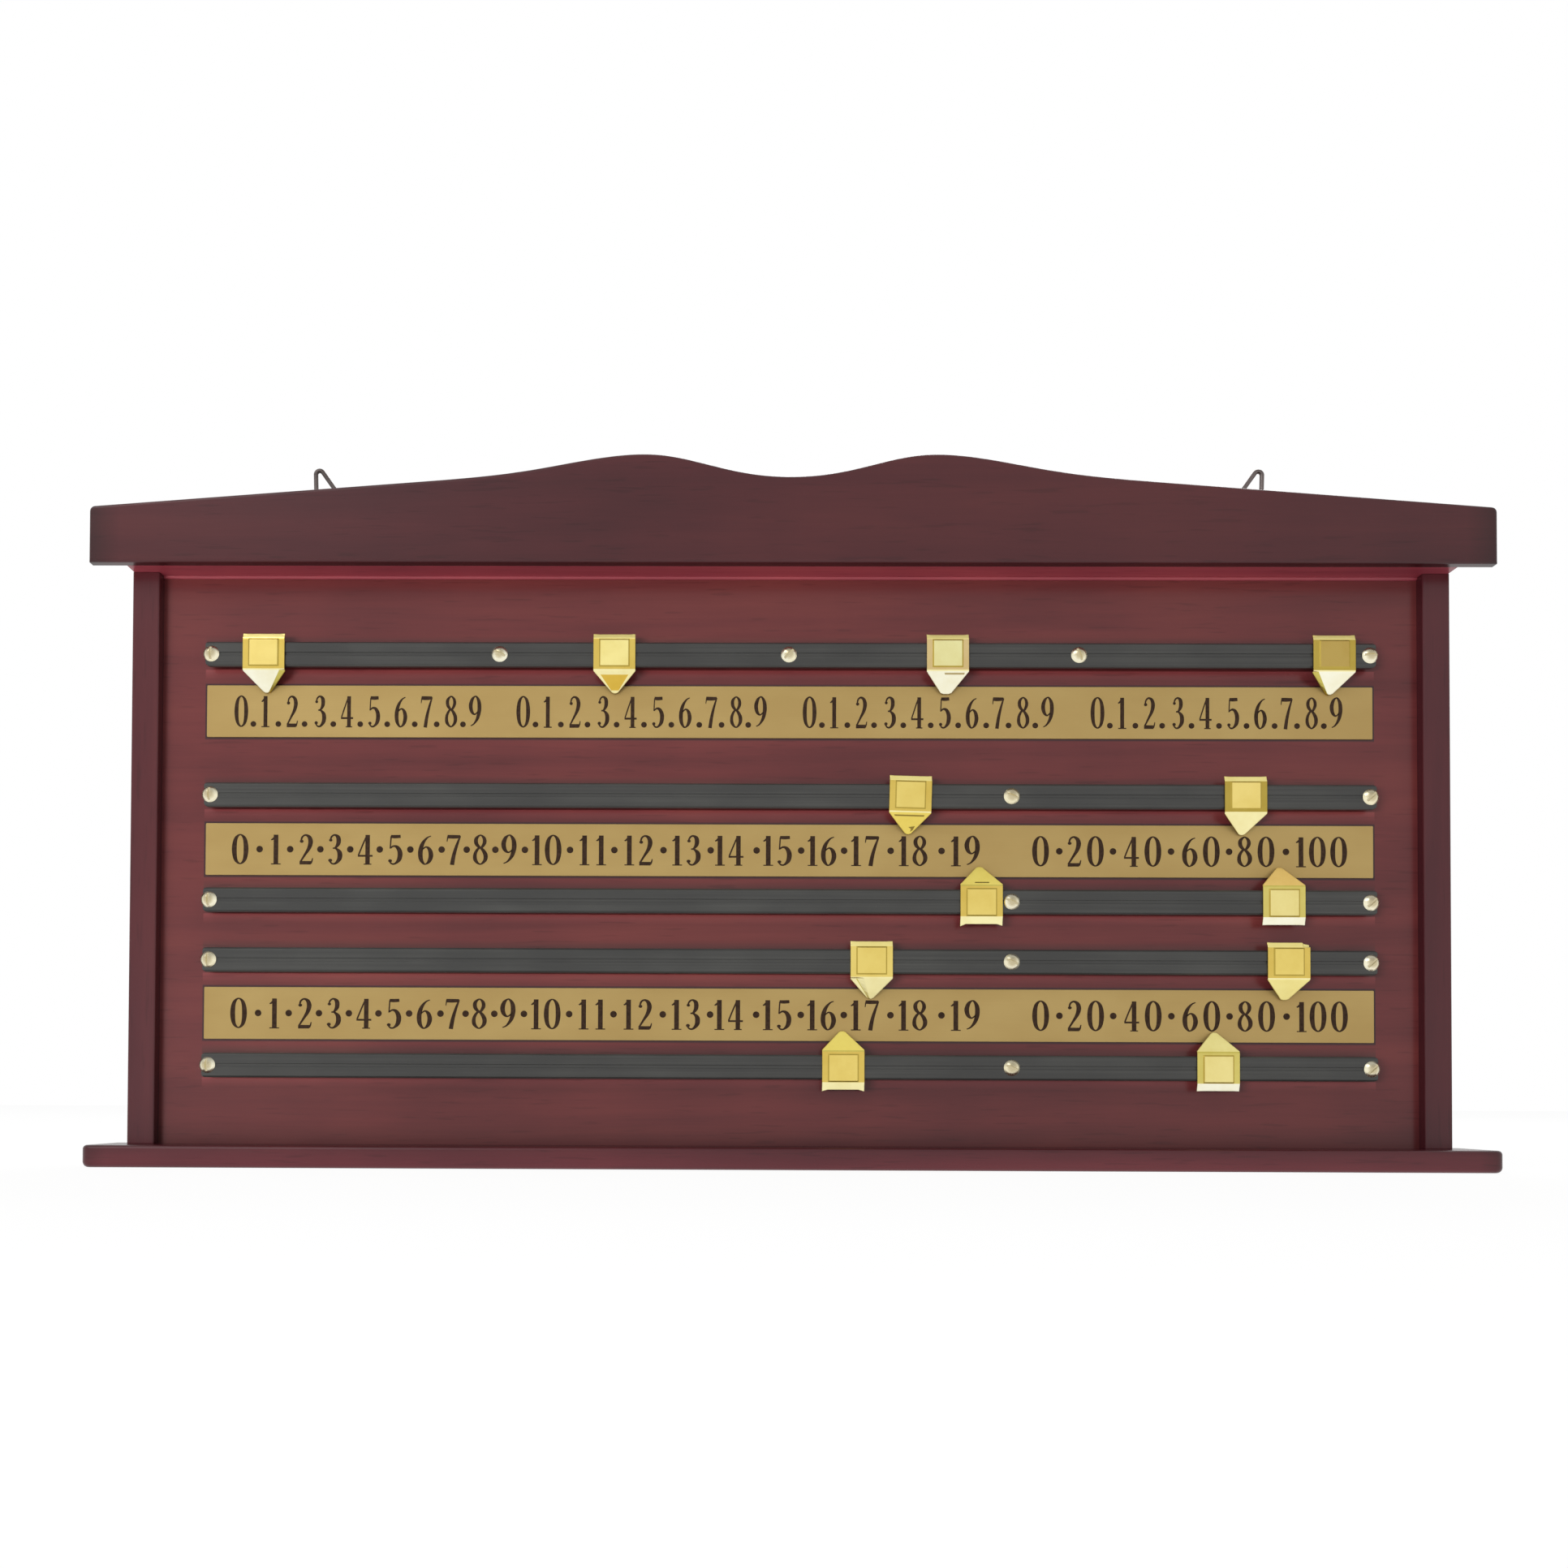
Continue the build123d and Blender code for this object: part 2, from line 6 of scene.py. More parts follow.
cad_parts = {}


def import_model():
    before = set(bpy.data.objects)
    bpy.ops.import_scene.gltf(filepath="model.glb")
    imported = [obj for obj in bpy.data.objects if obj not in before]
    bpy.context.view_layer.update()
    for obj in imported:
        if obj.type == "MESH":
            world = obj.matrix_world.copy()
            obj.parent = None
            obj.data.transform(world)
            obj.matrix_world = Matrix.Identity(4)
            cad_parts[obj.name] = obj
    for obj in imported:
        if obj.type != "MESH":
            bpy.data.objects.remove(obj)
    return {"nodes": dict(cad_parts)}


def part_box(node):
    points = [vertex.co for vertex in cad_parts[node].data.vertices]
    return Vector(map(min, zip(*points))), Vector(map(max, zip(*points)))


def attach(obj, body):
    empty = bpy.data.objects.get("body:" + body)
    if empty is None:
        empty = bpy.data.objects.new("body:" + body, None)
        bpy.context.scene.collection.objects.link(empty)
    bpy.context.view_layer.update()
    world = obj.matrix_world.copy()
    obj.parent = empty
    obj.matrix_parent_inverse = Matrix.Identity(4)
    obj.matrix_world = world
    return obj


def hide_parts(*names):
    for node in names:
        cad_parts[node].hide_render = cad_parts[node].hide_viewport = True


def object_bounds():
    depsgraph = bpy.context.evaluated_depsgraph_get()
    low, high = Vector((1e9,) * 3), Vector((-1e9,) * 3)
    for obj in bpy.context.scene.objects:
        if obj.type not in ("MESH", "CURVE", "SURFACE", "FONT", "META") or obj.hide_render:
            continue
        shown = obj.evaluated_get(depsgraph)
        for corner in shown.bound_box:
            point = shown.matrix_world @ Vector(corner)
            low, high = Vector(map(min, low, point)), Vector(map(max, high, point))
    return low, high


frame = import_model()
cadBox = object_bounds()
nodes = frame["nodes"]
mm = 0.001
print("frame loaded with", len(nodes), "nodes")

# camera, set to the photographed view: a little left of the middle and low down
cameraSetup = {
    "place": (-0.0467, -0.8, -0.3),
    "yaw": 0.415,
    "pitch": 1.053,
    "roll": -0.228,
    "lens": 32.49,
    "shiftX": 0.0582,
    "shiftY": 0.1849,
}


def addCamera(setup):
    data = bpy.data.cameras.new("boardCamera")
    data.lens = setup["lens"]
    data.sensor_width = 36
    data.shift_x = setup["shiftX"]
    data.shift_y = setup["shiftY"]
    data.clip_start = 0.01
    camera = bpy.data.objects.new("boardCamera", data)
    turn = Matrix.Rotation(math.radians(setup["yaw"]), 4, "Z")
    turn = turn @ Matrix.Rotation(math.radians(setup["pitch"]), 4, "X")
    turn = turn @ Matrix.Rotation(math.radians(setup["roll"]), 4, "Y")
    turn = turn @ Matrix.Rotation(math.radians(90), 4, "X")
    camera.matrix_world = Matrix.Translation(setup["place"]) @ turn
    bpy.context.scene.collection.objects.link(camera)
    bpy.context.scene.camera = camera


addCamera(cameraSetup)


# small helpers for node materials
def newMaterial(name, **values):
    material = bpy.data.materials.new(name)
    material.use_nodes = True
    shader = material.node_tree.nodes["Principled BSDF"]
    for key, value in values.items():
        shader.inputs[key.replace("_", " ")].default_value = value
    return material, material.node_tree, shader


def addNode(tree, kind, inputs=None, **settings):
    node = tree.nodes.new(kind)
    for key, value in settings.items():
        setattr(node, key, value)
    for key, value in (inputs or {}).items():
        node.inputs[key].default_value = value
    return node


def noise(tree, scale, detail=3, roughness=0.5, distortion=0):
    # noise in the piece's own frame, with a scale of its own along each axis
    place = addNode(tree, "ShaderNodeTexCoord")
    mapping = addNode(tree, "ShaderNodeMapping", {"Scale": scale})
    node = addNode(tree, "ShaderNodeTexNoise", {
        "Scale": 1, "Detail": detail, "Roughness": roughness, "Distortion": distortion,
    })
    tree.links.new(place.outputs["Object"], mapping.inputs["Vector"])
    tree.links.new(mapping.outputs["Vector"], node.inputs["Vector"])
    return node.outputs["Fac"]


def ramp(tree, value, stops):
    node = addNode(tree, "ShaderNodeValToRGB")
    bar = node.color_ramp
    while len(bar.elements) < len(stops):
        bar.elements.new(0.5)
    for element, (place, colour) in zip(bar.elements, stops):
        element.position = place
        element.color = (*colour, 1)
    tree.links.new(value, node.inputs["Fac"])
    return node.outputs["Color"]


def grey(value):
    return (value, value, value)


def blendColour(tree, share, a, b, kind="MIX"):
    node = addNode(tree, "ShaderNodeMix", data_type="RGBA", blend_type=kind)
    for socket, value in ((node.inputs[0], share), (node.inputs[6], a), (node.inputs[7], b)):
        if isinstance(value, (int, float)):
            socket.default_value = value
        elif isinstance(value, tuple):
            socket.default_value = (*value, 1)
        else:
            tree.links.new(value, socket)
    return node.outputs[2]


def maths(tree, kind, a, b=0.0, clamp=False):
    node = addNode(tree, "ShaderNodeMath", operation=kind, use_clamp=clamp)
    for socket, value in ((node.inputs[0], a), (node.inputs[1], b)):
        if isinstance(value, (int, float)):
            socket.default_value = value
        else:
            tree.links.new(value, socket)
    return node.outputs[0]


def scaleColour(tree, colour, by):
    return blendColour(tree, 1.0, colour, by, "MULTIPLY")


def mixValues(tree, a, shareA, b, shareB):
    return maths(tree, "ADD", maths(tree, "MULTIPLY", a, shareA), maths(tree, "MULTIPLY", b, shareB))


def splitAxes(tree, kind, output):
    source = addNode(tree, kind)
    split = addNode(tree, "ShaderNodeSeparateXYZ")
    tree.links.new(source.outputs[output], split.inputs[0])
    return split.outputs


def bump(tree, height, strength, distance, under=None):
    node = addNode(tree, "ShaderNodeBump", {"Strength": strength, "Distance": distance})
    tree.links.new(height, node.inputs["Height"])
    if under is not None:
        tree.links.new(under, node.inputs["Normal"])
    return node.outputs["Normal"]


def softEdge(tree, radius):
    return addNode(tree, "ShaderNodeBevel", {"Radius": radius}, samples=4).outputs["Normal"]


def paint(material, *names):
    for name in names:
        mesh = nodes[name].data
        mesh.materials.clear()
        mesh.materials.append(material)


railNames = ("row_1", "row_2_upper", "row_2_lower", "row_3_upper", "row_3_lower")

# lacquered mahogany: each pair of noise scales is across the grain and along it
mahogany = {
    "dark": (0.064, 0.0095, 0.0140),
    "middle": (0.088, 0.0135, 0.0185),
    "light": (0.112, 0.0185, 0.0225),
    "ribbon": (34.0, 2.4), "fibre": (900.0, 26.0), "pore": (520.0, 40.0),
    "poreShade": 0.82,
    "bare": (0.30, 0.150, 0.085),
    "facing": 0.9,              # a face points one way when its normal passes this
}
# painted shade and light on the panel along its number strips and rails
panelLook = {
    "reach": 0.3262,            # the painted shade and light end this far from the board's middle
    "line": (0.022, 0.012, 0.014),
    "lineShare": 0.8, "lineWide": 0.0025, "lineStops": (0.30, 0.62),
    "railReach": 0.0055,
    "aboveRail": (0.60, 1.0, 0.95),
    "belowRail": (1.75, 1.9, 1.9),
}


def panelMarks(tree, colour):
    # painted shade and light: a thin dark line of painted shade along each strip, a band of painted
    # shade above each rail and a band of painted light below it
    look = panelLook
    place = splitAxes(tree, "ShaderNodeTexCoord", "Object")
    level = place[2]
    inside = maths(tree, "LESS_THAN", maths(tree, "ABSOLUTE", place[0]), look["reach"])
    # painted shade: a thin dark line along the top and bottom edge of each strip
    for row in ("row_1", "row_2", "row_3"):
        low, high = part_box("number_strip_" + row)
        away = maths(tree, "ABSOLUTE", maths(tree, "SUBTRACT", level, (low.z + high.z) / 2))
        away = maths(tree, "SUBTRACT", away, (high.z - low.z) / 2)
        near, far = look["lineStops"]
        away = maths(tree, "MULTIPLY", away, 1 / look["lineWide"])
        line = ramp(tree, away, [(near, grey(1.0)), (far, grey(0.0))])
        line = maths(tree, "MULTIPLY", line, inside)
        line = maths(tree, "MULTIPLY", line, look["lineShare"])
        colour = blendColour(tree, line, colour, look["line"])
    # painted shade above each rail and painted light under it
    for rail in railNames:
        low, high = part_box("rail_" + rail)
        for edge, side, tint in ((high.z, 1, look["aboveRail"]), (low.z, -1, look["belowRail"])):
            past = maths(tree, "SUBTRACT", level, edge)
            past = maths(tree, "MULTIPLY", past, side / look["railReach"])
            band = ramp(tree, past, [(0.0, grey(1.0)), (1.0, grey(0.0))])
            band = maths(tree, "MULTIPLY", band, maths(tree, "GREATER_THAN", past, 0.0))
            band = maths(tree, "MULTIPLY", band, inside)
            colour = blendColour(tree, band, colour, scaleColour(tree, colour, tint))
    return colour


def fade(tree, colour, axis, places, levels):
    # the colour gets darker or lighter along one axis between two places in metres; this carries the
    # darker board ends, the painted shade at the panel's foot and the painted light on the shelf
    value = splitAxes(tree, "ShaderNodeTexCoord", "Object")[axis]
    if axis == 0:
        value = maths(tree, "ABSOLUTE", value)
    first, last = places
    share = maths(tree, "SUBTRACT", value, first)
    share = maths(tree, "MULTIPLY", share, 1 / (last - first), clamp=True)
    tint = ramp(tree, share, [(0.0, grey(levels[0])), (1.0, grey(levels[1]))])
    return scaleColour(tree, colour, tint)


def grainNoise(tree, key, grain, **settings):
    across, along = mahogany[key]
    scale = [across] * 3
    scale[grain] = along
    return noise(tree, scale, **settings)


def woodMaterial(name, grain=0, tone=1.0, lift=(1, 1, 1), under=1.0, paintedShading=False, fades=()):
    look = mahogany
    material, tree, shader = newMaterial(name, Roughness=0.27, Specular_IOR_Level=0.38)
    ribbon = grainNoise(tree, "ribbon", grain, detail=5, roughness=0.55, distortion=0.7)
    cloud = noise(tree, (7, 7, 7), detail=3, roughness=0.6)
    fine = grainNoise(tree, "fibre", grain, detail=2)
    dash = grainNoise(tree, "pore", grain, detail=1)
    dark, middle, light = [
        tuple(c * tone * k for c, k in zip(look[key], lift)) for key in ("dark", "middle", "light")
    ]
    mixed = mixValues(tree, ribbon, 0.62, cloud, 0.38)
    colour = ramp(tree, mixed, [(0.36, dark), (0.50, middle), (0.66, light)])
    streaks = ramp(tree, fine, [(0.3, grey(0.55)), (0.7, grey(1.25))])
    colour = blendColour(tree, 0.10, colour, streaks, "MULTIPLY")
    pores = ramp(tree, dash, [(0.28, grey(look["poreShade"])), (0.36, grey(1.0))])
    colour = scaleColour(tree, colour, pores)
    # painted shade and light on the panel along its strips and rails
    if paintedShading:
        colour = panelMarks(tree, colour)
    for axis, places, levels in fades:
        colour = fade(tree, colour, axis, places, levels)
    # the boards' rear faces are only wiped with stain
    normal = splitAxes(tree, "ShaderNodeNewGeometry", "True Normal")
    rear = maths(tree, "GREATER_THAN", normal[1], look["facing"])
    bare = ramp(tree, mixed, [(0.35, tuple(0.55 * c for c in look["bare"])), (0.65, look["bare"])])
    streaks = ramp(tree, fine, [(0.3, grey(0.5)), (0.7, grey(1.2))])
    bare = blendColour(tree, 0.5, bare, streaks, "MULTIPLY")
    colour = blendColour(tree, rear, colour, bare)
    # painted light: faces that point down are painted lighter by the factor under, as if lit from the
    # floor
    if under > 1:
        below = maths(tree, "LESS_THAN", normal[2], -look["facing"])
        colour = blendColour(tree, below, colour, scaleColour(tree, colour, grey(under)))
    tree.links.new(colour, shader.inputs["Base Color"])
    height = mixValues(tree, fine, 0.4, dash, 0.6)
    peel = noise(tree, (160, 160, 160), detail=2)
    smooth = bump(tree, peel, 0.04, 0.0004, softEdge(tree, 0.0009))
    tree.links.new(bump(tree, height, 0.05, 0.0003, smooth), shader.inputs["Normal"])
    return material


shelfLow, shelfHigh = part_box("bottom_shelf")
endDarkening = (0, (0.366, 0.381), (1.0, 0.5))          # the boards get darker over the last 15 mm at each end
# painted shade: the panel darkens over its last 14 mm above the shelf
footShade = (2, (shelfHigh.z, shelfHigh.z + 0.014), (0.62, 1.0))
# painted light: the shelf is painted lighter towards its underside and darker towards its top
noseLight = (2, (shelfLow.z, shelfHigh.z), (1.45, 0.85))
paint(woodMaterial("mahoganyCrest", tone=0.64, lift=(1.0, 1.1, 1.0), fades=(endDarkening,)), "crest_board")
paint(woodMaterial("mahoganyShelf", tone=0.92, fades=(endDarkening, noseLight)), "bottom_shelf")
# painted light: the top board's underside is painted four times lighter
paint(woodMaterial("mahoganyTop", under=4.0), "top_board")
paint(woodMaterial("mahoganyUpright", grain=2, tone=0.72), "left_side", "right_side")
paint(woodMaterial(
    "mahoganyPanel", tone=1.36, lift=(1.0, 1.20, 0.90), paintedShading=True, fades=(footShade,),
), "back_panel")
# painted highlight: the bead is painted three times lighter than the wood, for the bright line of
# light along it
paint(woodMaterial("mahoganyBead", tone=3.0), "head_bead")
print("wood done")

# satin gold number strips
stripLook = {"gold": (0.452, 0.318, 0.120), "deep": (0.415, 0.284, 0.103), "roughness": 0.45}


def stripMaterial():
    material, tree, shader = newMaterial(
        "satinGold", Metallic=0.6, Roughness=stripLook["roughness"], Specular_IOR_Level=0.2,
    )
    brushed = noise(tree, (6, 1, 2600), detail=3)
    cloud = noise(tree, (14, 14, 30), detail=3, roughness=0.6)
    colour = ramp(tree, cloud, [(0.35, stripLook["deep"]), (0.65, stripLook["gold"])])
    lines = ramp(tree, brushed, [(0.3, grey(0.7)), (0.7, grey(1.15))])
    colour = blendColour(tree, 0.12, colour, lines, "MULTIPLY")
    tree.links.new(colour, shader.inputs["Base Color"])
    rough = ramp(tree, brushed, [(0.3, grey(0.40)), (0.7, grey(0.52))])
    tree.links.new(rough, shader.inputs["Roughness"])
    tree.links.new(bump(tree, brushed, 0.10, 0.0001, softEdge(tree, 0.0003)), shader.inputs["Normal"])
    return material


paint(stripMaterial(), "number_strip_row_1", "number_strip_row_2", "number_strip_row_3")
print("strips done")

# black rails with the light rub marks that the pointers leave
railLook = {"black": (0.031, 0.031, 0.029), "rubbed": (0.050, 0.050, 0.046)}


def railMaterial():
    material, tree, shader = newMaterial("railBlack", Roughness=0.4, Specular_IOR_Level=0.45)
    rub = noise(tree, (5, 60, 900), detail=4, roughness=0.6)
    cloud = noise(tree, (18, 18, 40), detail=3)
    mark = maths(tree, "MULTIPLY", rub, cloud)
    colour = ramp(tree, mark, [(0.18, railLook["black"]), (0.42, railLook["rubbed"])])
    tree.links.new(colour, shader.inputs["Base Color"])
    rough = ramp(tree, mark, [(0.15, grey(0.28)), (0.45, grey(0.46))])
    tree.links.new(rough, shader.inputs["Roughness"])
    tree.links.new(bump(tree, rub, 0.05, 0.0001, softEdge(tree, 0.0005)), shader.inputs["Normal"])
    return material


paint(railMaterial(), *["rail_" + name for name in railNames])


# bright metals
def metalMaterial(name, tint, shade, roughness, grain, edge=0.0004, paintedCrownShade=None):
    material, tree, shader = newMaterial(name, Metallic=1.0, Roughness=roughness)
    cloud = noise(tree, (60, 60, 60), detail=4, roughness=0.6)
    brushed = noise(tree, grain, detail=2)
    colour = ramp(tree, cloud, [(0.32, shade), (0.62, tint)])
    if paintedCrownShade:
        # painted shade: the middle of a round head's dome and the floor of its slot, which face
        # straight out, are painted darker than the rim
        normal = splitAxes(tree, "ShaderNodeNewGeometry", "Normal")
        front = maths(tree, "MULTIPLY", normal[1], -1.0)
        crownShadeShare = ramp(tree, front, [(0.80, grey(0.0)), (0.95, grey(1.0))])
        colour = blendColour(tree, crownShadeShare, colour, paintedCrownShade)
        # painted shade: the upper side of each head is painted darker than the lower
        upper = maths(tree, "ADD", normal[2], 0.5)
        colour = scaleColour(tree, colour, ramp(tree, upper, [(0.55, grey(1.0)), (1.0, grey(0.62))]))
    tree.links.new(colour, shader.inputs["Base Color"])
    rough = ramp(tree, brushed, [(0.3, grey(roughness * 0.9)), (0.7, grey(roughness * 1.12))])
    tree.links.new(rough, shader.inputs["Roughness"])
    tree.links.new(bump(tree, brushed, 0.02, 0.0001, softEdge(tree, edge)), shader.inputs["Normal"])
    return material


metals = {
    "screwBrass": {
        "tint": (0.96, 0.92, 0.72), "shade": (0.90, 0.82, 0.56),
        "roughness": 0.26, "grain": (600, 600, 600),
        "edge": 0.00012, "paintedCrownShade": (0.60, 0.52, 0.33),
    },
    "strapSteel": {
        "tint": (0.62, 0.61, 0.57), "shade": (0.50, 0.49, 0.44),
        "roughness": 0.34, "grain": (300, 900, 900),
    },
    "wireSteel": {
        "tint": (0.17, 0.14, 0.135), "shade": (0.10, 0.085, 0.08),
        "roughness": 0.25, "grain": (900, 900, 900),
    },
    "hiddenSteel": {
        "tint": (0.60, 0.54, 0.36), "shade": (0.46, 0.40, 0.24),
        "roughness": 0.36, "grain": (600, 600, 600),
    },
}
metalPieces = {
    "screwBrass": ["rail_screws_" + name for name in railNames],
    "strapSteel": ["hanger_strap_left", "hanger_strap_right", "hanger_screws"],
    "wireSteel": ["hanger_ring_left", "hanger_ring_right"],
    "hiddenSteel": ["top_screws", "shelf_screws", "panel_screws"],
}
for metalName, metalLook in metals.items():
    paint(metalMaterial(metalName, **metalLook), *metalPieces[metalName])


def dowelMaterial():
    material, tree, shader = newMaterial("dowelBeech", Roughness=0.6)
    fibre = noise(tree, (900, 40, 900), detail=3)
    colour = ramp(tree, fibre, [(0.3, (0.46, 0.32, 0.18)), (0.7, (0.62, 0.47, 0.29))])
    tree.links.new(colour, shader.inputs["Base Color"])
    return material


paint(dowelMaterial(), "crest_dowels")
print("metals done")

# pointers: pressed brass sheet, no two bent quite alike
# the tints paint light and shade on the brass as well as each pointer's own tone: most tips that point
# down are near white, as if catching the light from the floor, and the border, the boss's bevel frame,
# folds and inner patches are painted darker than the boss
brassTints = {
    "border": (0.735, 0.545, 0.125),
    "borderOlive": (0.50, 0.37, 0.072),
    "borderGreen": (0.69, 0.59, 0.165),
    "borderPink": (0.72, 0.55, 0.26),
    "boss": (0.90, 0.72, 0.23),
    "bossGreen": (0.86, 0.81, 0.40),
    "bossPale": (0.87, 0.75, 0.30),
    "bossBrown": (0.52, 0.37, 0.105),
    "bossGold": (0.84, 0.66, 0.185),
    "white": (0.99, 0.97, 0.78),
    "cream": (0.98, 0.90, 0.48),
    "pale": (0.96, 0.84, 0.33),
    "gold": (0.88, 0.70, 0.155),
    "goldUp": (0.98, 0.82, 0.20),
    "pinkUp": (0.97, 0.68, 0.22),
    "creamUp": (0.98, 0.88, 0.36),
    "inside": (0.74, 0.50, 0.078),
    "fold": (0.64, 0.55, 0.13),
    "frame": (0.50, 0.37, 0.075),
    "slit": (0.30, 0.215, 0.048),
    "slitPale": (0.50, 0.40, 0.20),
    "hidden": (0.62, 0.46, 0.12),
}
# sizes in millimetres: along the pointer, v is 0 at the rail's middle and runs towards the point
pointerLook = {
    "half": 11.6, "sheet": 0.72,
    "proud": 1.1,               # the sheet's face stands this far in front of the rail's
    "tailEdge": {1: -12.4, -1: -11.1}, "tailLip": 1, "tailRows": (-9.2, -8.7),
    "tailCrease": -8.3, "tailDrop": 1.2, "feet": (0.15, 0.15),
    "bossHalf": 7.75, "bossLow": -7.5, "bossHigh": 6.6, "bossRise": 0.5, "bossRows": (-3.5, 0.0, 3.5),
    "bevel": 0.75, "lowBevel": 0.6, "columns": (-4.0, 0.0, 4.0),
    "tipCrease": 8.8, "creaseBand": (8.4, 9.2), "creaseRows": (8.2, 8.6, 8.9, 9.3), "creaseSoft": 0.7,
    "shoulder": 9.6, "tipRows": (11.2, 13.4, 15.4, 17.4, 18.8, 19.7), "point": 20.2,
    "tipDrop": 6.9, "pointHalf": 1.3, "blunt": 0.55,
    "foldFrom": 9.0, "edgeDrop": 0.9, "crossDrop": 0.55,
    "innerEdge": 2.6, "innerRows": (11, 17.6), "innerFaces": (11.2, 18.2), "innerDrop": 0.35,
    "softFrom": -9, "softUp": 1.3, "softIn": 0.3,
    "hookHalf": 7.0, "hookIn": 7.05, "hookOut": 7.8, "hookLip": 3.85,
    "hookBack": 4.6, "hookSheet": 0.8,
    "markLift": 0.04, "slitTaper": (0.94, 0.96),
    "dent": ((-1.4, 0.0), (2.2, -0.5), (1.2, 1.5), (-0.2, 2.4), (0.1, 0.9)),
}
# the tint of each part of a pointer, where its own entry below names no other
usualTints = {
    "border": "border", "boss": "boss", "tip": "pale", "tail": "pale", "inner": "inside",
    "fold": "fold", "cut": "slit", "hidden": "hidden", "crease": "fold", "frame": "frame",
}
# a slit is (u, v, half length, height), a dent (u, v) and a fold column 0 or 8, the left or right edge
pointerPieces = {
    "row_1_first": {"tip": "white", "foldColumn": 8},
    "row_1_second": {"boss": "pale", "tip": "cream", "inner": "inside"},
    "row_1_third": {
        "border": "borderPink", "boss": "bossGreen", "tip": "white", "pointHalf": 2.6,
        "slit": (3.8, 10.6, 5.6, 0.9), "cut": "slitPale",
    },
    "row_1_fourth": {"border": "borderOlive", "boss": "bossBrown", "tip": "white", "foldColumn": 0},
    "row_2_upper_units": {
        "boss": "bossGold", "tip": "gold", "turn": 1.5,
        "slit": (-0.3, 10.9, 8.4, 0.7), "dent": (1.2, 16.6),
    },
    "row_2_upper_twenties": {"border": "borderOlive", "tip": "cream"},
    "row_2_lower_units": {
        "boss": "bossGold", "tip": "goldUp", "tail": "cream",
        "slit": (0.4, 10.6, 4.0, 0.6), "feet": (1.3, 0.9),
    },
    "row_2_lower_twenties": {
        "border": "borderGreen", "boss": "bossPale", "tip": "pinkUp", "tail": "white",
    },
    "row_3_upper_units": {
        "border": "bossGold", "boss": "bossGold", "tip": "cream", "crossFold": True,
    },
    "row_3_upper_twenties": {"boss": "bossGold", "softCorner": True, "pointHalf": 1.8},
    "row_3_lower_units": {"boss": "bossGold", "tip": "goldUp", "tail": "cream", "feet": (0.9, 0.9)},
    "row_3_lower_twenties": {
        "border": "borderGreen", "boss": "bossPale", "tip": "creamUp", "tail": "white",
    },
}
brassLook = {
    "shade": (0.93, 0.90, 0.80), "roughness": 0.32, "grain": (220, 220, 220), "edge": 0.0006,
}
brassMade = {}


def brass(name):
    if name not in brassMade:
        tint = brassTints[name]
        look = dict(brassLook, shade=tuple(c * k for c, k in zip(tint, brassLook["shade"])))
        brassMade[name] = metalMaterial("brass" + name[0].upper() + name[1:], tint, **look)
    return brassMade[name]


def foldDepth(along, crease, far, drop):
    # how deep the sheet has turned back at a distance past a crease, rounded at the crease itself
    past = (along - crease) * (1 if far > crease else -1)
    slope = drop / abs(far - crease)
    soft = pointerLook["creaseSoft"]
    if past <= -soft:
        return 0.0
    if past < soft:
        return slope * (past + soft) ** 2 / (4 * soft)
    return slope * past


def tipDepth(v):
    look = pointerLook
    return foldDepth(v, look["tipCrease"], look["point"], look["tipDrop"])


def widthAt(v, pointHalf):
    # half the sheet's width, from the shoulder in to the blunt point
    look = pointerLook
    if v == look["point"]:
        return pointHalf * look["blunt"]
    share = (v - look["shoulder"]) / (look["point"] - look["shoulder"])
    return look["half"] + (pointHalf - look["half"]) * share


def pointerMarks(piece):
    # the outlines of painted shade for a slit and a dent in the tip; the sheet itself is not cut
    paintedShading = []
    if "slit" in piece:
        u, v, long, tall = piece["slit"]
        low, high = v - tall / 2, v + tall / 2
        left, right = pointerLook["slitTaper"]
        paintedShading.append([
            (u - long, low), (u + long, low), (u + long * right, high), (u - long * left, high),
        ])
    if "dent" in piece:
        u, v = piece["dent"]
        paintedShading.append([(u + x, v + y) for x, y in pointerLook["dent"]])
    return paintedShading


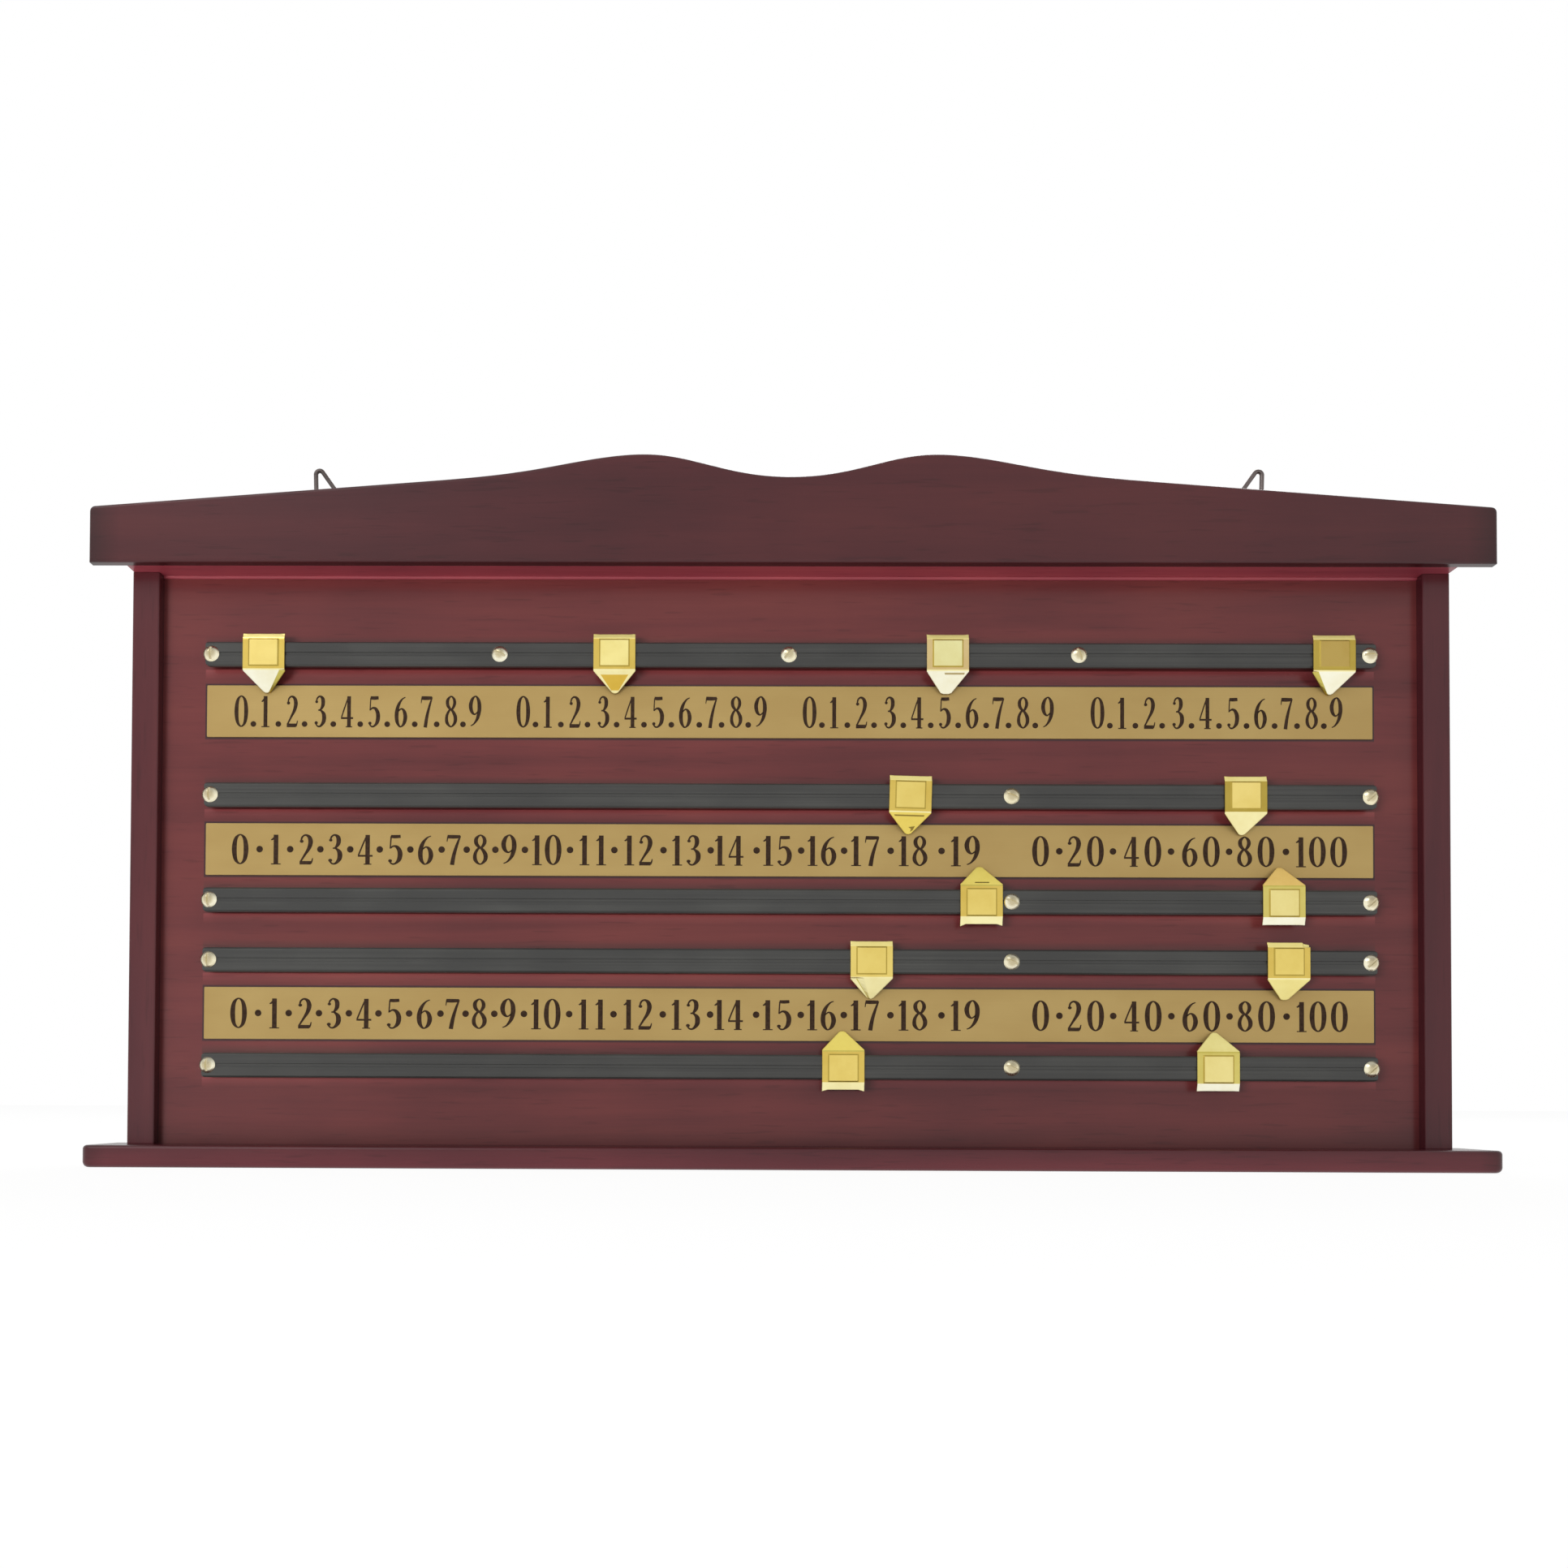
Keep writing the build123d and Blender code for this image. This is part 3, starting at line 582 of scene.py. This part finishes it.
def buildPointer(name, piece):
    look = pointerLook
    node = "pointer_" + name
    low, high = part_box(node)
    middleX = (low.x + high.x) / 2 / mm
    aim = 1 if "lower" in name else -1
    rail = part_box("rail_" + (
        "row_1" if name.startswith("row_1") else "_".join(name.split("_")[:3])
    ))
    level = (rail[0].z + rail[1].z) / 2 / mm
    front = rail[0].y / mm - look["proud"]
    half, bevel, bossHalf = look["half"], look["bevel"], look["bossHalf"]
    bossLow, bossHigh = look["bossLow"], look["bossHigh"]
    tailEdge = look["tailEdge"][aim]
    # painted highlight along the crease of a pointer that points down, painted shade along the crease
    # of one that points up
    tints = dict(usualTints, crease="cream" if aim < 0 else "fold")
    tints.update((part, piece[part]) for part in tints if part in piece)
    index = {part: k for k, part in enumerate(tints)}
    along = [
        tailEdge, tailEdge + look["tailLip"], *look["tailRows"], look["tailCrease"],
        bossLow - bevel * look["lowBevel"], bossLow, *look["bossRows"], bossHigh, bossHigh + bevel,
        *look["creaseRows"], look["shoulder"], *look["tipRows"], look["point"],
    ]
    # columns 0 and 8 are the sheet's edges, 1 and 7 the foot of the boss's bevel and 2 and 6 its top
    across = [
        -half, -bossHalf - bevel, -bossHalf, *look["columns"], bossHalf, bossHalf + bevel, half,
    ]
    pointHalf = piece.get("pointHalf", look["pointHalf"])
    turn = math.radians(piece.get("turn", 0.0))
    feet = piece.get("feet", look["feet"])
    foldColumn = piece.get("foldColumn")

    def world(u, v, depth):
        return Vector(((middleX + u) * mm, (front + depth) * mm, (level + aim * v) * mm))

    def turned(u, v):
        return u * math.cos(turn) - v * math.sin(turn), u * math.sin(turn) + v * math.cos(turn)

    def skin(i, j, under=0.0):
        v, u = along[i], across[j]
        if v > look["shoulder"]:
            if "inner" in piece and j in (1, 7):
                u = math.copysign(half - look["innerEdge"], u)
            u = u * widthAt(v, pointHalf) / half
        depth = tipDepth(v)
        depth += foldDepth(v, look["tailCrease"], tailEdge, look["tailDrop"])
        if 2 <= j <= 6 and bossLow <= v <= bossHigh:
            depth -= look["bossRise"]
        if v > look["foldFrom"] and j == foldColumn:
            depth += look["edgeDrop"]
        if "inner" in piece and look["innerRows"][0] < v < look["innerRows"][1] and 2 <= j <= 6:
            depth += look["innerDrop"]
        if "crossFold" in piece and v > look["foldFrom"] and j <= 2:
            depth += look["crossDrop"]
        if "softCorner" in piece and v < look["softFrom"] and j >= 7:
            v, u = v + look["softUp"] * (j - 6) / 2, u - look["softIn"]
        if v <= tailEdge and j in (0, 8):
            v -= feet[0 if j == 0 else 1]
        return world(*turned(u, v), depth + under)

    # which tint each face takes; the crease, fold, inner, frame and tip tints are painted light and
    # shade
    def partOf(i, j):
        v = (along[i] + along[i + 1]) / 2
        creaseStart, creaseEnd = look["creaseBand"]
        if v < look["tailCrease"]:
            return "tail"
        if creaseStart < v < creaseEnd:
            return "crease"
        if v > creaseEnd:
            if foldColumn is not None and j == min(foldColumn, 7):
                return "fold"
            if "inner" in piece and 1 <= j <= 6 and look["innerFaces"][0] < v < look["innerFaces"][1]:
                return "inner"
            if "crossFold" in piece and j == 1 and v > look["shoulder"]:
                return "fold"
            return "tip"
        if 2 <= j <= 5 and bossLow < v < bossHigh:
            return "boss"
        if 1 <= j <= 6 and bossLow - bevel < v < bossHigh + bevel:
            return "frame"
        return "border"

    mesh = bmesh.new()

    def addFace(corners, part):
        mesh.faces.new(corners).material_index = index[part]

    rows, columns = len(along), len(across)
    outer = [[mesh.verts.new(skin(i, j)) for j in range(columns)] for i in range(rows)]
    inner = [[mesh.verts.new(skin(i, j, look["sheet"])) for j in range(columns)] for i in range(rows)]
    for i in range(rows - 1):
        for j in range(columns - 1):
            face = (outer[i][j], outer[i + 1][j], outer[i + 1][j + 1], outer[i][j + 1])
            addFace(face, partOf(i, j))
            back = (inner[i][j], inner[i][j + 1], inner[i + 1][j + 1], inner[i + 1][j])
            addFace(back, "hidden")
    rim = [(i, 0) for i in range(rows)]
    rim += [(rows - 1, j) for j in range(1, columns)]
    rim += [(i, columns - 1) for i in range(rows - 2, -1, -1)]
    rim += [(0, j) for j in range(columns - 2, 0, -1)]
    for (a, b), (c, d) in zip(rim, rim[1:] + rim[:1]):
        edge = (outer[a][b], outer[c][d], inner[c][d], inner[a][b])
        addFace(edge, "tail" if a == 0 and c == 0 else "border")
    # the two hooks that run behind the rail's head
    root, back = look["sheet"] * 0.5, look["hookBack"] + look["hookSheet"]
    section = [
        (look["hookOut"], root), (look["hookOut"], back), (look["hookLip"], back),
        (look["hookLip"], look["hookBack"]), (look["hookIn"], look["hookBack"]),
        (look["hookIn"], root),
    ]
    for side in (-1, 1):
        left, right = [
            [mesh.verts.new(world(u, side * v, depth)) for v, depth in section]
            for u in (-look["hookHalf"], look["hookHalf"])
        ]
        for k in range(len(section)):
            after = (k + 1) % len(section)
            addFace((left[k], left[after], right[after], right[k]), "hidden")
        addFace(left, "hidden")
        addFace(right, "hidden")
    # the painted shade for the slit and the dent lies just off the tip's skin
    for mark in pointerMarks(piece):
        points = [world(*turned(u, v), tipDepth(v) - look["markLift"]) for u, v in mark]
        addFace([mesh.verts.new(point) for point in points], "cut")
    bmesh.ops.recalc_face_normals(mesh, faces=mesh.faces)
    data = bpy.data.meshes.new("brass_" + name)
    mesh.to_mesh(data)
    mesh.free()
    for tint in tints.values():
        data.materials.append(brass(tint))
    sheet = bpy.data.objects.new("brass_" + name, data)
    bpy.context.scene.collection.objects.link(sheet)
    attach(sheet, node)
    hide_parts(node)


for pointerName, pointerPiece in pointerPieces.items():
    buildPointer(pointerName, pointerPiece)
    paint(brass("boss"), "pointer_" + pointerName)
print("pointers done")

# printed numbers: each stroke is a line of points with its own width, in digit heights
digitStrokes = {
    "0": {"closed": [[
        (0.21, 0.975, 0.045), (0.325, 0.84, 0.095), (0.362, 0.5, 0.125), (0.325, 0.16, 0.095),
        (0.21, 0.025, 0.045), (0.095, 0.16, 0.095), (0.058, 0.5, 0.125), (0.095, 0.84, 0.095),
    ]]},
    "1": {"open": [
        [(0.225, 0.0, 0.12), (0.225, 0.5, 0.12), (0.225, 0.975, 0.12)],
        [(0.10, 0.80, 0.035), (0.165, 0.85, 0.06), (0.235, 0.965, 0.05)],
        [(0.10, 0.016, 0.034), (0.225, 0.016, 0.034), (0.35, 0.016, 0.034)],
    ]},
    "2": {"open": [
        [
            (0.085, 0.76, 0.04), (0.115, 0.90, 0.05), (0.20, 0.965, 0.06), (0.295, 0.90, 0.10),
            (0.33, 0.74, 0.12), (0.29, 0.54, 0.10), (0.19, 0.33, 0.065), (0.07, 0.09, 0.045),
        ],
        [(0.05, 0.06, 0.12), (0.20, 0.058, 0.115), (0.34, 0.058, 0.115)],
        [(0.335, 0.03, 0.05), (0.365, 0.11, 0.04), (0.385, 0.21, 0.025)],
    ], "balls": [(0.10, 0.76, 0.05)]},
    "3": {"open": [
        [
            (0.085, 0.80, 0.04), (0.125, 0.92, 0.05), (0.205, 0.97, 0.06), (0.29, 0.89, 0.11),
            (0.295, 0.70, 0.11), (0.225, 0.56, 0.06), (0.15, 0.53, 0.035),
        ],
        [
            (0.15, 0.545, 0.035), (0.24, 0.52, 0.06), (0.325, 0.40, 0.12), (0.325, 0.20, 0.12),
            (0.235, 0.05, 0.07), (0.14, 0.03, 0.05), (0.07, 0.12, 0.045),
        ],
    ], "balls": [(0.098, 0.80, 0.045), (0.088, 0.14, 0.052)]},
    "4": {"open": [
        [(0.27, 0.0, 0.115), (0.27, 0.5, 0.115), (0.27, 0.975, 0.115)],
        [(0.25, 0.96, 0.04), (0.14, 0.64, 0.04), (0.035, 0.31, 0.04)],
        [(0.02, 0.29, 0.06), (0.20, 0.29, 0.06), (0.40, 0.29, 0.06)],
        [(0.17, 0.016, 0.034), (0.27, 0.016, 0.034), (0.37, 0.016, 0.034)],
    ]},
    "5": {"open": [
        [(0.10, 0.925, 0.10), (0.22, 0.92, 0.11), (0.35, 0.93, 0.10)],
        [(0.105, 0.93, 0.035), (0.095, 0.74, 0.035), (0.085, 0.53, 0.035)],
        [
            (0.085, 0.54, 0.035), (0.17, 0.61, 0.06), (0.27, 0.57, 0.10), (0.335, 0.40, 0.125),
            (0.315, 0.18, 0.115), (0.22, 0.045, 0.06), (0.13, 0.03, 0.05), (0.065, 0.11, 0.04),
        ],
    ], "balls": [(0.082, 0.13, 0.05)]},
    "6": {"open": [
        [
            (0.345, 0.945, 0.03), (0.24, 0.88, 0.05), (0.13, 0.70, 0.095), (0.075, 0.45, 0.12),
            (0.085, 0.20, 0.11), (0.15, 0.05, 0.065), (0.215, 0.025, 0.045), (0.30, 0.12, 0.095),
            (0.345, 0.31, 0.12), (0.31, 0.50, 0.10), (0.22, 0.585, 0.05), (0.12, 0.50, 0.035),
        ],
    ]},
    "7": {"open": [
        [(0.045, 0.925, 0.115), (0.20, 0.92, 0.12), (0.375, 0.925, 0.10)],
        [(0.375, 0.945, 0.04), (0.29, 0.66, 0.07), (0.215, 0.34, 0.095), (0.165, 0.0, 0.11)],
        [(0.055, 0.95, 0.025), (0.045, 0.86, 0.03), (0.035, 0.76, 0.02)],
    ]},
    "8": {"closed": [
        [
            (0.21, 0.975, 0.045), (0.305, 0.88, 0.085), (0.315, 0.72, 0.095), (0.225, 0.565, 0.065),
            (0.115, 0.68, 0.10), (0.105, 0.86, 0.095),
        ],
        [
            (0.20, 0.565, 0.065), (0.33, 0.38, 0.11), (0.335, 0.17, 0.10), (0.21, 0.025, 0.045),
            (0.085, 0.16, 0.10), (0.085, 0.39, 0.085),
        ],
    ]},
    "9": {"open": [
        [
            (0.075, 0.055, 0.03), (0.18, 0.12, 0.05), (0.29, 0.30, 0.095), (0.345, 0.55, 0.12),
            (0.335, 0.80, 0.11), (0.27, 0.95, 0.065), (0.205, 0.975, 0.045), (0.12, 0.88, 0.095),
            (0.075, 0.69, 0.12), (0.11, 0.50, 0.10), (0.20, 0.415, 0.05), (0.30, 0.50, 0.035),
        ],
    ]},
}
numberLook = {
    "lift": 0.05 * mm,          # the print lies this far off its strip
    "step": 0.0015 * mm,        # and each stroke of a digit this far off the one before
    "middle": 0.21,             # the middle of a digit, in its own height
    "ink": (0.028, 0.016, 0.010), "worn": 1.8,
    "topRow": {
        "height": 17.9, "narrow": 1.0, "dot": 1.6, "dotDrop": 0.40,
        "starts": ((-305.8, 1.0), (-147.9, 1.012), (12.0, 1.012), (172.3, 1.012)),
        "steps": (0.0, 13.3, 28.4, 44.2, 59.3, 74.4, 89.5, 103.9, 117.5, 130.9),
        "dots": (6.8, 20.8, 35.5, 51.6, 66.7, 81.8, 97.2, 109.5, 124.2),
    },
    "scoreRow": {
        "height": 17.1, "narrow": 1.27, "dot": 1.85,
        "units": (-305.7, -286.0, -268.9, -252.6, -235.7, -219.0, -201.9, -186.2, -171.4, -155.5),
        "teens": (-135.4, -108.9, -83.9, -57.2, -33.4, -6.5, 18.2, 42.4, 68.9, 97.9),
        "tens": ((0, 140.6), (20, 165.1), (40, 197.0), (60, 229.4), (80, 259.7), (100, 295.3)),
        "teenGap": (9.3,), "tensGap": (11.9,), "hundredGap": (9.4, 11.8),
        "dots": (
            -294.8, -277.7, -260.8, -244.1, -227.6, -210.5, -193.0, -179.0, -163.0, -146.5,
            -121.3, -96.6, -69.2, -42.9, -17.3, 7.5, 31.4, 57.3, 85.6,
            151.0, 180.8, 213.0, 245.2, 276.7,
        ),
    },
}


def smoothLine(points, closed, steps=7):
    # a smooth curve through the points, and through their widths
    count = len(points)
    out = []
    for i in range(count if closed else count - 1):
        if closed:
            four = [points[(i + k) % count] for k in (-1, 0, 1, 2)]
        else:
            four = [points[min(max(i + k, 0), count - 1)] for k in (-1, 0, 1, 2)]
        a, b, c, d = [Vector(p) for p in four]
        square, cube = 2 * a - 5 * b + 4 * c - d, 3 * b - a - 3 * c + d
        for s in range(steps):
            t = s / steps
            out.append(0.5 * (2 * b + (c - a) * t + square * t**2 + cube * t**3))
    if not closed:
        out.append(Vector(points[-1]))
    return out


def drawStroke(mesh, line, closed, toWorld):
    count = len(line)
    pairs = []
    for i, point in enumerate(line):
        before = line[i - 1] if closed or i > 0 else line[i]
        after = line[(i + 1) % count] if closed or i < count - 1 else line[i]
        run = Vector((after.x - before.x, after.y - before.y)).normalized()
        side = Vector((-run.y, run.x)) * point.z / 2
        pairs.append((
            mesh.verts.new(toWorld(point.x + side.x, point.y + side.y)),
            mesh.verts.new(toWorld(point.x - side.x, point.y - side.y)),
        ))
    for i in range(count if closed else count - 1):
        (a, b), (c, d) = pairs[i], pairs[(i + 1) % count]
        mesh.faces.new((a, b, d, c))


def drawDisc(mesh, x, y, radius, toWorld, sides=18):
    ring = []
    for k in range(sides):
        angle = 2 * math.pi * k / sides
        point = toWorld(x + radius * math.cos(angle), y + radius * math.sin(angle))
        ring.append(mesh.verts.new(point))
    mesh.faces.new(ring)


def drawDigit(mesh, digit, middleX, middleZ, height, narrow, face):
    strokes = digitStrokes[digit]
    layer = [0]

    def toWorld(x, y):
        return Vector((
            (middleX + (x - numberLook["middle"]) * height * narrow) * mm,
            face - numberLook["lift"] - layer[0] * numberLook["step"],
            (middleZ + (y - 0.5) * height) * mm,
        ))

    # each stroke lies just in front of the one before, so that crossings don't flicker
    for kind, closed in (("open", False), ("closed", True)):
        for line in strokes.get(kind, ()):
            drawStroke(mesh, smoothLine(line, closed), closed, toWorld)
            layer[0] += 1
    for x, y, radius in strokes.get("balls", ()):
        drawDisc(mesh, x, y, radius, toWorld)
        layer[0] += 1


def drawDot(mesh, middleX, middleZ, radius, face):
    def toWorld(x, y):
        return Vector(((middleX + x) * mm, face - numberLook["lift"], (middleZ + y) * mm))
    drawDisc(mesh, 0, 0, radius, toWorld)


def drawNumber(mesh, text, middleX, middleZ, gaps, height, narrow, face):
    places = [0.0]
    for gap in gaps[:len(text) - 1]:
        places.append(places[-1] + gap)
    shift = middleX - (places[0] + places[-1]) / 2
    for digit, place in zip(text, places):
        drawDigit(mesh, digit, place + shift, middleZ, height, narrow, face)


def inkMaterial():
    material, tree, shader = newMaterial("printInk", Roughness=0.7, Specular_IOR_Level=0.08)
    wear = noise(tree, (700, 700, 700), detail=3)
    ink = numberLook["ink"]
    worn = tuple(numberLook["worn"] * c for c in ink)
    tree.links.new(ramp(tree, wear, [(0.35, ink), (0.75, worn)]), shader.inputs["Base Color"])
    return material


printInk = inkMaterial()


def printRow(row, scores):
    low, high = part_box("number_strip_" + row)
    face = low.y
    middle = (low.z + high.z) / 2 / mm
    mesh = bmesh.new()
    look = numberLook["scoreRow" if scores else "topRow"]
    height, narrow = look["height"], look["narrow"]
    if scores:
        for value, place in enumerate(look["units"]):
            drawDigit(mesh, str(value), place, middle, height, narrow, face)
        for value, place in enumerate(look["teens"]):
            drawNumber(mesh, "1" + str(value), place, middle, look["teenGap"], height, narrow, face)
        for value, place in look["tens"]:
            gaps = look["hundredGap"] if value == 100 else look["tensGap"]
            drawNumber(mesh, str(value), place, middle, gaps, height, narrow, face)
        for place in look["dots"]:
            drawDot(mesh, place, middle, look["dot"], face)
    else:
        for start, spread in look["starts"]:
            for value, step in enumerate(look["steps"]):
                drawDigit(mesh, str(value), start + spread * step, middle, height, narrow, face)
            for step in look["dots"]:
                dotZ = middle - height * look["dotDrop"]
                drawDot(mesh, start + spread * step, dotZ, look["dot"], face)
    data = bpy.data.meshes.new("numbers_" + row)
    bmesh.ops.recalc_face_normals(mesh, faces=mesh.faces)
    for polygon in mesh.faces:
        if polygon.normal.y > 0:
            polygon.normal_flip()
    mesh.to_mesh(data)
    mesh.free()
    data.materials.append(printInk)
    piece = bpy.data.objects.new("numbers_" + row, data)
    bpy.context.scene.collection.objects.link(piece)
    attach(piece, "board")


printRow("row_1", scores=False)
printRow("row_2", scores=True)
printRow("row_3", scores=True)
print("numbers done")

# floor, world and lamps
studio = {
    "floorHalf": 6.0,
    "floorColour": 0.86,
    "floorShow": 0.88,
    "floorGlow": 1.05,
    "floorFill": 0.45,
    "worldLight": 0.58,
    "worldGloss": 1.0,
    "sky": [(0.0, 1.0), (0.5, 0.96), (0.68, 0.92), (1.0, 0.78)],
    "lamps": {
        "low": {"place": (-1.1, -1.7, -0.2), "size": (0.9, 0.24), "power": 21},
        "front": {"place": (-1.5, -1.9, 1.9), "size": (1.8, 1.2), "power": 16},
        "rear": {"place": (0.7, 1.9, 2.1), "size": (1.8, 1.2), "power": 26},
    },
    "aim": (0.0, 0.0, -0.15),   # all three lamps look at the board's middle
}


def addFloor():
    level = cadBox[0].z
    data = bpy.data.meshes.new("floor")
    half = studio["floorHalf"]
    corners = [(x * half, y * half, level) for x, y in ((-1, -1), (1, -1), (1, 1), (-1, 1))]
    data.from_pydata(corners, [], [(0, 1, 2, 3)])
    floor = bpy.data.objects.new("floor", data)
    bpy.context.scene.collection.objects.link(floor)
    material = bpy.data.materials.new("paleFloor")
    material.use_nodes = True
    tree = material.node_tree
    tree.nodes.clear()
    diffuse = addNode(tree, "ShaderNodeBsdfDiffuse", {"Color": (*grey(studio["floorColour"]), 1)})
    glow = addNode(tree, "ShaderNodeEmission", {
        "Color": (1, 1, 1, 1), "Strength": studio["floorGlow"],
    })
    ray = addNode(tree, "ShaderNodeLightPath")
    seen = maths(tree, "MAXIMUM", ray.outputs["Is Camera Ray"], ray.outputs["Is Glossy Ray"])
    seen = maths(tree, "MAXIMUM", seen, ray.outputs["Is Transmission Ray"])
    share = maths(tree, "MULTIPLY", seen, studio["floorShow"])
    share = maths(tree, "MAXIMUM", share, studio["floorFill"])
    mix = addNode(tree, "ShaderNodeMixShader")
    out = addNode(tree, "ShaderNodeOutputMaterial")
    tree.links.new(share, mix.inputs[0])
    tree.links.new(diffuse.outputs[0], mix.inputs[1])
    tree.links.new(glow.outputs[0], mix.inputs[2])
    tree.links.new(mix.outputs[0], out.inputs["Surface"])
    data.materials.append(material)


def addWorld():
    world = bpy.data.worlds.new("studioWorld")
    bpy.context.scene.world = world
    world.use_nodes = True
    tree = world.node_tree
    tree.nodes.clear()
    ray = addNode(tree, "ShaderNodeLightPath")
    # the room is a little brighter low down than overhead
    up = splitAxes(tree, "ShaderNodeTexCoord", "Generated")[2]
    height = maths(tree, "ADD", maths(tree, "MULTIPLY", up, 0.5), 0.5)
    sky = ramp(tree, height, [(where, grey(level)) for where, level in studio["sky"]])
    light = addNode(tree, "ShaderNodeBackground", {"Strength": studio["worldLight"]})
    gloss = addNode(tree, "ShaderNodeBackground", {"Strength": studio["worldGloss"]})
    tree.links.new(sky, light.inputs["Color"])
    tree.links.new(sky, gloss.inputs["Color"])
    white = addNode(tree, "ShaderNodeBackground", {"Color": (1, 1, 1, 1), "Strength": 1.0})
    first = addNode(tree, "ShaderNodeMixShader")
    second = addNode(tree, "ShaderNodeMixShader")
    out = addNode(tree, "ShaderNodeOutputWorld")
    tree.links.new(ray.outputs["Is Glossy Ray"], first.inputs[0])
    tree.links.new(light.outputs[0], first.inputs[1])
    tree.links.new(gloss.outputs[0], first.inputs[2])
    seen = maths(tree, "MAXIMUM", ray.outputs["Is Camera Ray"], ray.outputs["Is Transmission Ray"])
    tree.links.new(seen, second.inputs[0])
    tree.links.new(first.outputs[0], second.inputs[1])
    tree.links.new(white.outputs[0], second.inputs[2])
    tree.links.new(second.outputs[0], out.inputs["Surface"])


def addLamps():
    for name, lamp in studio["lamps"].items():
        data = bpy.data.lights.new(name, "AREA")
        data.shape = "RECTANGLE"
        data.size, data.size_y = lamp["size"]
        data.energy = lamp["power"]
        light = bpy.data.objects.new(name, data)
        light.location = lamp["place"]
        aim = Vector(studio["aim"]) - Vector(lamp["place"])
        light.rotation_euler = aim.to_track_quat("-Z", "Y").to_euler()
        light.visible_camera = False
        light.visible_glossy = name != "low"
        bpy.context.scene.collection.objects.link(light)


addFloor()
addWorld()
addLamps()
bpy.context.scene.view_settings.view_transform = "Standard"
print("studio done")
